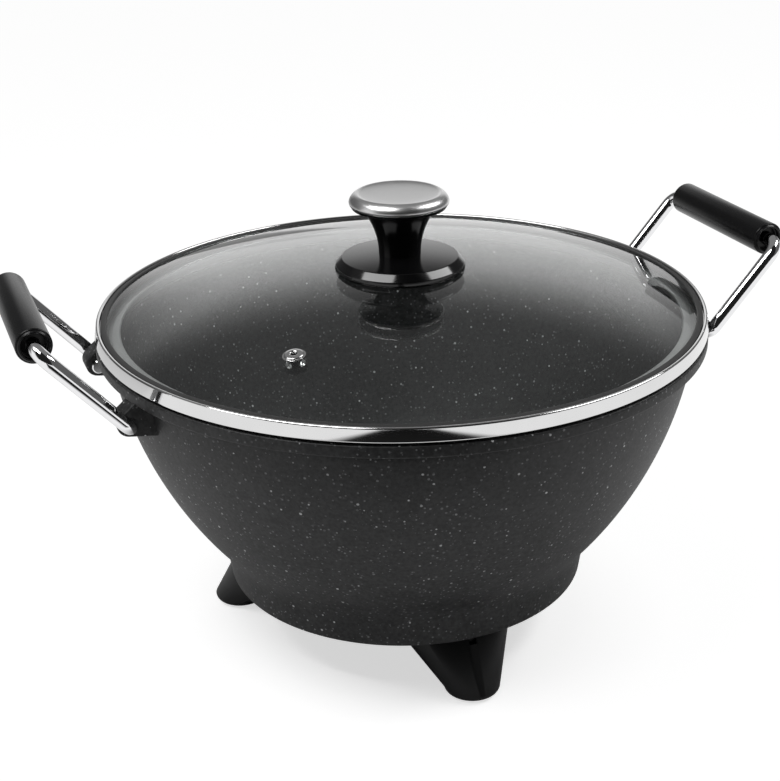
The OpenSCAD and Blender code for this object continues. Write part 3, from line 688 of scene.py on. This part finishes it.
# ------------------------------------------------------------------------------------------
# Lid. A dome of clear tempered glass lies in a black silicone seal, in a rim rolled from
# polished stainless strip: an outer skirt, a bead over the glass, a web that bears on the
# bowl and a skirt inside the bowl's seat. A pressed eyelet lines the steam hole.
lid_low, lid_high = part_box("lid_rim")
lid_r = lid_high.y / MM
lid_foot_z = lid_low.z / MM
lid_top_z = lid_high.z / MM
dome_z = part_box("lid_glass")[1].z / MM
dome_r = 621
glass_t = 4
bead_w = 3
sheet_t = 1
seal_t = 0.8
seal_w = 0.9
fit_gap = 0.05                 # between the glass and its seal
lip_in_r = 161.8               # steel lip that shows through the glass, inside the seal
inner_skirt_r = 168.8
skirt_z = 193
lid_turns = 256
glass_rings = 60
knob_hole_r = 3.5              # hole in the glass for the knob's screw
vent_at = 120
vent_angle = math.radians(-138)
vent_r = 5.4
vent_hole_r = 1.8
vent_seat_r = 3.8
web_z = skirt_z + sheet_t
bead_r = lid_r - bead_w
cup_r = bead_r - sheet_t
glass_r = cup_r - seal_t
glass_edge_z = web_z + seal_t + glass_t


def dome(x, depth=0):
    """Height of the glass at a radius, a depth under its outer face."""
    return dome_z - dome_r + math.sqrt((dome_r - depth) ** 2 - x * x)


def clear_glass():
    """Clear glass as a coat of gloss that grows towards grazing, over a slight tint."""
    material, start, place = new_finish("clear_glass")
    facing = start.node("ShaderNodeLayerWeight", {}, {"Blend": 0.5}, "Facing")
    clear = start.node("ShaderNodeBsdfTransparent", {}, {"Color": (0.935, 0.945, 0.942, 1)})
    smear = start.noise(place, 30, 3.0)
    gloss = start.node("ShaderNodeBsdfAnisotropic", {}, {
        "Color": (1, 1, 1, 1), "Roughness": 0.01 + smear * 0.03})
    head_on = 0.04                 # share of the light that glass mirrors when seen straight on
    mirrored = head_on + (1 - head_on) * facing ** 5
    both = start.node("ShaderNodeMixShader", {}, {0: mirrored, 1: clear, 2: gloss})
    start.node("ShaderNodeOutputMaterial", {}, {"Surface": both})
    return material


def within(start, place, radius, sharpness):
    """1 nearer to the wok's axis than a radius in millimetres, and 0 outside it."""
    apart = start.node("ShaderNodeSeparateXYZ", {}, {0: place}, "X")
    out = apart * apart + apart.beside("Y") * apart.beside("Y")
    return (((radius * MM) ** 2 - out) * sharpness).clip()


def rim_steel():
    """Stainless strip: polished outside with faint rolling lines, and satin inside its seal."""
    material, start, place = new_finish("polished_rim_steel")
    lines = start.noise(stretched(start, place, (0.03, 0.03, 1)), 0.25)
    haze = start.noise(place, 22, 3.0)
    satin = within(start, place, glass_r, 1e4)
    spread(start, {
        "Base Color": haze.colour((0.68, 0.68, 0.68, 1), (0.78, 0.78, 0.78, 1)),
        "Metallic": 1.0,
        "Roughness": 0.05 + haze * 0.07 + satin * 0.38,
        "Normal": start.relief(lines, 0.003, 0.25),
    })
    return material


radii = [knob_hole_r + (glass_r - knob_hole_r) * i / glass_rings for i in range(glass_rings + 1)]
glass = turned("domed_glass", rounded([
    *[(x, dome(x)) for x in radii[:-1]], (glass_r, dome(glass_r), 0.6),
    (glass_r, dome(glass_r, glass_t), 0.6), *[(x, dome(x, glass_t)) for x in radii[-2::-1]],
]), lid_turns)
vent_place = (Matrix.Rotation(vent_angle, 4, "Z")
              @ Matrix.Translation((0, 0, (dome_z - dome_r) * MM))
              @ Matrix.Rotation(math.asin(vent_at / dome_r), 4, "Y")
              @ Matrix.Translation((0, 0, dome_r * MM)))
drill = turned("drill", [(0, -2 * glass_t), (vent_seat_r, -2 * glass_t),
                         (vent_seat_r, glass_t), (0, glass_t)], 64)
drill.data.transform(vent_place)
cut(glass, drill)
finished(glass, clear_glass(), "lid", "lid_glass", slot="lid_glass")

seal_in_r = glass_r - seal_w
seal = turned("glass_seal", rounded([
    (seal_in_r, dome(seal_in_r, glass_t) - 0.6 * seal_t, 0.2),
    (cup_r, web_z), (cup_r, glass_edge_z),
    (bead_r, glass_edge_z), (bead_r, glass_edge_z + seal_t),
    (seal_in_r, dome(seal_in_r) + 0.5 * seal_t, 0.2), (seal_in_r, dome(seal_in_r, -fit_gap)),
    (glass_r + fit_gap, dome(glass_r, -fit_gap)),
    (glass_r + fit_gap, dome(glass_r, glass_t + fit_gap)),
    (seal_in_r, dome(seal_in_r, glass_t + fit_gap)),
]), lid_turns)
black_silicone = moulded("black_silicone", (0.022, 0.022, 0.022), 0.5, 0.6, 0.01)
finished(seal, black_silicone, "lid", "lid_seal", slot="seal_silicone")

bead_round = 1.45
skirt_in_r = inner_skirt_r - sheet_t
rim = turned("rolled_rim", rounded([
    (inner_skirt_r, lid_foot_z, 0.3), (inner_skirt_r, skirt_z, 0.4), (bead_r, skirt_z, 0.4),
    (bead_r, glass_edge_z - sheet_t, 0.3), (lid_r - sheet_t, glass_edge_z - sheet_t, 0.3),
    (lid_r - sheet_t, skirt_z, 0.3), (lid_r, skirt_z, 0.45), (lid_r, lid_top_z, bead_round),
    (bead_r, lid_top_z, bead_round), (bead_r, glass_edge_z, 0.1), (cup_r, glass_edge_z, 0.1),
    (cup_r, web_z, 0.2), (lip_in_r, web_z + 0.6, 0.3), (lip_in_r, web_z - 0.1, 0.2),
    (skirt_in_r, web_z - 0.7, 0.3), (skirt_in_r, lid_foot_z, 0.3),
], 6), lid_turns)
finished(rim, rim_steel(), "lid", "lid_rim", slot="rim_steel")

eyelet_over = 1.5              # how far the eyelet stands out over the glass and under it
eyelet_under = 1.2
eyelet_neck_r = vent_seat_r - bore_gap
eyelet = turned("steam_eyelet", rounded([
    (vent_hole_r, -glass_t - eyelet_under, 0.3), (vent_r - 0.6, -glass_t - eyelet_under, 0.4),
    (vent_r - 0.6, -glass_t - 0.1), (eyelet_neck_r, -glass_t - 0.1), (eyelet_neck_r, 0.1),
    (vent_r, 0.1, 0.2), (vent_r, eyelet_over, 1.2), (vent_hole_r, eyelet_over, 0.9)]), 64)
eyelet.data.transform(vent_place)
eyelet_steel = metal("eyelet_steel", (0.74, 0.74, 0.74), 0.14)
finished(eyelet, eyelet_steel, "lid", "vent_eyelet", slot="vent_steel")


# ------------------------------------------------------------------------------------------
# Knob. A gloss black moulded skirt and waisted stem stand on the glass, under a pressed
# steel cap with a satin edge and a brushed dish. A screw under the glass, on a steel and
# a silicone washer, draws into a brass insert in the stem.
skirt_low, skirt_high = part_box("knob_skirt")
knob_skirt_r = skirt_high.x / MM
skirt_top_z = skirt_high.z / MM
knob_foot_z = skirt_low.z / MM
skirt_top_r = 33.2
skirt_wall = 3.6
bevel_z = knob_foot_z + 2.4    # where the skirt's flat bevel starts
bevel_top_z = skirt_top_z - 2.2
stem_r = 12.1
stem_curve = 42
stem_steps = 24
insert_r = 4.15
insert_h = 13
cap_low, cap_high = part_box("knob_cap")
cap_r = cap_high.x / MM
cap_z = cap_low.z / MM
cap_top_z = cap_high.z / MM
cap_h = cap_top_z - cap_z
cap_roll = 1.7
cap_t = 1
dish_r = 23.4
dish_depth = 1.5
cone_h = 3.6
screw_r = 2.55
knob_turns = 192
head_r = cap_r - cap_roll


def gloss_black():
    """High gloss phenolic with a faint ripple from the mould."""
    material, start, place = new_finish("gloss_phenolic")
    cloud = start.noise(place, 8, 3.0)
    spread(start, {
        "Base Color": cloud.colour((0.0022, 0.0022, 0.0024, 1), (0.0034, 0.0034, 0.0037, 1)),
        "Roughness": 0.10 + cloud * 0.05,
        "Normal": start.relief(start.noise(place, 6), 0.015, 0.3),
    })
    return material


def cap_steel():
    """Pressed steel: brushed straight across its dish, and satin over its edge."""
    grey, pale_grey = (0.62, 0.62, 0.62, 1), (0.76, 0.76, 0.76, 1)
    material, start, place = new_finish("pressed_cap_steel")
    dish = within(start, place, dish_r - 0.5, 4e4)
    brush = start.noise(stretched(start, place, (0.03, 1, 1)), 0.22, 3.0)
    haze = start.noise(place, 7, 3.0)
    spread(start, {
        "Base Color": (brush * 0.5 + haze * 0.5).colour(grey, pale_grey),
        "Metallic": 1.0,
        "Roughness": 0.27 + haze * 0.06 + dish * (0.04 + brush * 0.10),
        "Normal": start.relief(brush * dish, 0.012, 0.5),
    })
    return material


knob_black = gloss_black()
knob_seat_z = dome_z + 0.3     # where the skirt stands, over the glass
knob_in_r = knob_skirt_r - skirt_wall
skirt = turned("knob_skirt_moulding", rounded([
    (screw_r, knob_seat_z), (stem_r, knob_seat_z, 0.4), (stem_r, knob_seat_z + 2.9, 0.6),
    (knob_in_r, knob_foot_z + 2.6, 0.6), (knob_in_r, knob_foot_z, 0.3),
    (knob_skirt_r - 0.4, knob_foot_z, 0.2), (knob_skirt_r, knob_foot_z + 0.6, 0.3),
    (knob_skirt_r, bevel_z, 0.7), (skirt_top_r, bevel_top_z, 0.7),
    (stem_r, skirt_top_z), (screw_r, skirt_top_z)]), knob_turns)
finished(skirt, knob_black, "lid", "knob_skirt", slot="knob_plastic", crease=24)

stem_turn = math.asin((cap_z - cone_h - skirt_top_z) / stem_curve)
angles = [stem_turn * i / stem_steps for i in range(stem_steps + 1)]
waist = [(stem_r + stem_curve * (1 - math.cos(a)), skirt_top_z + stem_curve * math.sin(a))
         for a in angles]
insert_top_z = skirt_top_z + insert_h
dish_z = cap_top_z - dish_depth
cap_in_r = head_r - cap_t
cap_in_z = cap_z + cap_h * 0.4
stem = turned("knob_stem_moulding", rounded([
    (insert_r, skirt_top_z), *waist, (head_r - 0.3, cap_z - 0.5, 0.3), (head_r - 0.3, cap_z),
    (cap_in_r - bore_gap, cap_z), (cap_in_r - bore_gap, cap_in_z),
    (dish_r - cap_t, dish_z - cap_t - bore_gap), (0, dish_z - cap_t - bore_gap),
    (0, insert_top_z), (insert_r, insert_top_z),
]), 160)
finished(stem, knob_black, "lid", "knob_stem", slot="knob_plastic", crease=24)

wide_z = cap_z + cap_h * 0.32
crown_r = dish_r + 0.8         # highest ring of the cap, and where its dish has turned down
fall_r = dish_r - 0.8
fall_z = cap_top_z - 0.35
cap = turned("pressed_cap", [
    *swoop((head_r, cap_z), (cap_r, cap_z + cap_h * 0.08), (cap_r, wide_z), 12),
    *swoop((cap_r, wide_z), (cap_r - 0.7, wide_z + cap_h * 0.46), (crown_r, cap_top_z), 14)[1:],
    *swoop((crown_r, cap_top_z), (dish_r, cap_top_z), (fall_r, fall_z), 8)[1:],
    *swoop((fall_r, fall_z), (dish_r - 3.3, dish_z), (0, dish_z), 18)[1:],
    (0, dish_z - cap_t), (dish_r - cap_t, dish_z - cap_t),
    (cap_in_r, cap_in_z), (cap_in_r, cap_z),
], knob_turns)
finished(cap, cap_steel(), "lid", "knob_cap", slot="cap_steel")

dress("knob_insert", metal("turned_brass", (0.70, 0.53, 0.25), 0.24, tint=(0.60, 0.44, 0.20)))
dress("knob_screw", screw_zinc)
dress("knob_washer", screw_zinc)
dress("knob_gasket", moulded("grey_silicone", (0.22, 0.22, 0.22), 0.6, 0.6, 0.02))


# ------------------------------------------------------------------------------------------
# Studio. White paper that keeps a soft shadow, faded by painted white away from the wok, and is
# painted dark before the camera where the wok mirrors it or takes light from it; a white room
# that is dark behind the camera, overhead and in three corners; and two long softboxes over the
# wok, left and right of the camera.
view_azimuth = math.radians(20.1)      # of the camera, from the front towards the wok's left


def from_view(x, y, z):
    """A direction given to the right, away from the camera and up, in the wok's own axes."""
    return Matrix.Rotation(-view_azimuth, 3, "Z") @ Vector((x, y, z))


def seen_directly(start):
    """1 for rays from the camera, off gloss or through glass, and 0 for the light on matt."""
    camera = start.node("ShaderNodeLightPath", out="Is Camera Ray")
    mirror = start.maths("MAXIMUM", camera, camera.beside("Is Glossy Ray"))
    return start.maths("MAXIMUM", mirror, camera.beside("Is Transmission Ray"))


def towards(start, place, direction):
    """How far a place or a ray lies in a direction."""
    sockets = {0: place, 1: Vector(direction).normalized()}
    return start.node("ShaderNodeVectorMath", {"operation": "DOT_PRODUCT"}, sockets, "Value")


def beyond(distance, edge, width):
    """0 up to an edge, and rising to 1 over a width after it, all in metres."""
    return ((distance - edge) / width).clip()


def floor_paper():
    """White paper, painted whiter away from the wok so its shadow fades; in what it mirrors and
    throws on the wok, painted dark before the camera.
    """
    material, start, place = new_finish("floor_paper")

    def matt_paint(colour):
        return start.node("ShaderNodeBsdfDiffuse", {}, {"Color": colour})

    def light(strength):
        sockets = {"Color": (1, 1, 1, 1), "Strength": strength}
        return start.node("ShaderNodeEmission", {}, sockets)

    def mix(share, first, second):
        return start.node("ShaderNodeMixShader", {}, {0: share, 1: first, 2: second})

    fibre = start.noise(place, 2.0)
    matt = matt_paint(fibre.colour((0.78, 0.78, 0.78, 1), (0.82, 0.82, 0.82, 1)))
    shaded = start.node("ShaderNodeAddShader", {}, {
        0: matt_paint((0.80, 0.80, 0.80, 1)), 1: light(0.62)})
    white = light(1.0)
    off = start.node("ShaderNodeVectorMath", {"operation": "LENGTH"}, {0: place}, "Value")
    # Painted light: beyond about 0.1 m from the wok's axis the paper is painted white to the
    # camera, which fades the wok's shadow.
    shown = mix(beyond(off, 0.105, 0.06) * 0.85, shaded, white)
    nearer = towards(start, place, from_view(0, -1, 0))
    left = towards(start, place, from_view(-1, 0, 0))
    aside = start.maths("ABSOLUTE", left + 0.02, 0.0)
    # Painted shade: before the camera the paper is painted near black for reflections and for the
    # light it throws on the wok, though the camera sees it white.
    painted_dark_front = beyond(nearer, 0.30, 0.12) * (1 - beyond(aside, 0.21, 0.07))
    # Painted reflection: farther than about 0.14 m out the paper mirrors as painted white, dimmed
    # in a corner at the left away from the camera.
    corner = beyond(left, 0.22, 0.10) * (1 - beyond(nearer, -0.05, 0.10))
    bright = beyond(off, 0.14, 0.14) * (1 - 0.8 * corner) * seen_directly(start)
    thrown = mix(painted_dark_front, mix(bright, matt, white), matt_paint((0.015, 0.015, 0.015, 1)))
    camera = start.node("ShaderNodeLightPath", out="Is Camera Ray")
    start.node("ShaderNodeOutputMaterial", {}, {"Surface": mix(camera, thrown, shown)})
    return material


paper_half = 6.0               # half its width, and its height just under the pads, in metres
paper_z = -0.0002
floor_mesh = bpy.data.meshes.new("floor")
paper_corners = [(-paper_half, -paper_half, paper_z), (paper_half, -paper_half, paper_z),
                 (paper_half, paper_half, paper_z), (-paper_half, paper_half, paper_z)]
floor_mesh.from_pydata(paper_corners, [], [(0, 1, 2, 3)])
floor_mesh.materials.append(floor_paper())
floor = bpy.data.objects.new("floor", floor_mesh)
bpy.context.scene.collection.objects.link(floor)

world = bpy.data.worlds.new("white_room")
bpy.context.scene.world = world
world.use_nodes = True
world.node_tree.nodes.clear()
sky = Tone(world.node_tree)
look = sky.node("ShaderNodeTexCoord", out="Generated")


def zone(direction, outer, inner):
    """1 for rays near a direction and 0 away from it, between two angles in degrees."""
    sockets = {"Value": towards(sky, look, direction), "From Min": math.cos(math.radians(outer)),
               "From Max": math.cos(math.radians(inner))}
    return sky.node("ShaderNodeMapRange", {"interpolation_type": "SMOOTHSTEP"}, sockets, "Result")


def darker(first, second):
    """The larger of two shares of darkness."""
    return sky.maths("MAXIMUM", first, second)


behind_camera = zone(from_view(0, -1, 0.62), 64, 46)
overhead = zone((0, 0, 1), 75, 56)
back_left = zone(from_view(-0.80, 0.60, 0.15), 42, 26)
back_right = zone(from_view(0.78, 0.60, 0.30), 34, 20)
right_side = zone(from_view(0.93, -0.20, 0.15), 40, 26)
dark_corners = darker(darker(back_left, back_right), right_side)
mirrored = sky.node("ShaderNodeLightPath", out="Is Glossy Ray")
unlit = darker(behind_camera, darker(overhead * 0.8, dark_corners * 0.9)) * mirrored
shown = unlit.colour((1, 1, 1, 1), (0.015, 0.015, 0.015, 1))
matt_glow = behind_camera.colour((0.36, 0.36, 0.36, 1), (0.02, 0.02, 0.02, 1))
glow = seen_directly(sky).colour(matt_glow, shown)
background = sky.node("ShaderNodeBackground", {}, {"Color": glow})
sky.node("ShaderNodeOutputWorld", {}, {"Surface": background})

lamp_distance = 1.5            # from a point inside the wok, in metres
lamp_centre = Vector((0, 0, 0.15))
lamp_glow = 8.0                # how many times as bright as plain white


def softbox(name, direction, along, length, width):
    """A lamp in a direction from the wok, with its long side along another."""
    lamp = bpy.data.lights.new(name, "AREA")
    lamp.shape = "RECTANGLE"
    lamp.size = length
    lamp.size_y = width
    lamp.energy = lamp_glow * math.pi * length * width
    holder = bpy.data.objects.new(name, lamp)
    bpy.context.scene.collection.objects.link(holder)
    back = from_view(*direction).normalized()
    across = from_view(*along)
    across = (across - back * across.dot(back)).normalized()
    axes = Matrix((across, back.cross(across), back)).transposed().to_4x4()
    holder.matrix_world = Matrix.Translation(back * lamp_distance + lamp_centre) @ axes


softbox("left_softbox", (-0.455, -0.250, 0.840), (-0.58, 0.42, -0.19), 1.10, 0.50)
softbox("right_softbox", (0.688, 0.095, 0.720), (0.21, 0.52, -0.27), 0.95, 0.34)

# The camera stands where the outlines of the rim, foot ring, knob, handles and legs put it
camera = bpy.data.objects.new("camera", bpy.data.cameras.new("camera"))
bpy.context.scene.collection.objects.link(camera)
camera.data.lens = 70.14
camera.data.sensor_width = 36
camera_roll = math.radians(-1.2087)
eye = Vector((-0.29174, -0.77586, 0.50511))
aim = Vector((-0.006888, 0.002521, 0.143977))
facing = (aim - eye).to_track_quat("-Z", "Y").to_matrix().to_4x4()
camera.matrix_world = Matrix.Translation(eye) @ facing @ Matrix.Rotation(camera_roll, 4, "Z")
bpy.context.scene.camera = camera
bpy.context.scene.view_settings.view_transform = "Standard"
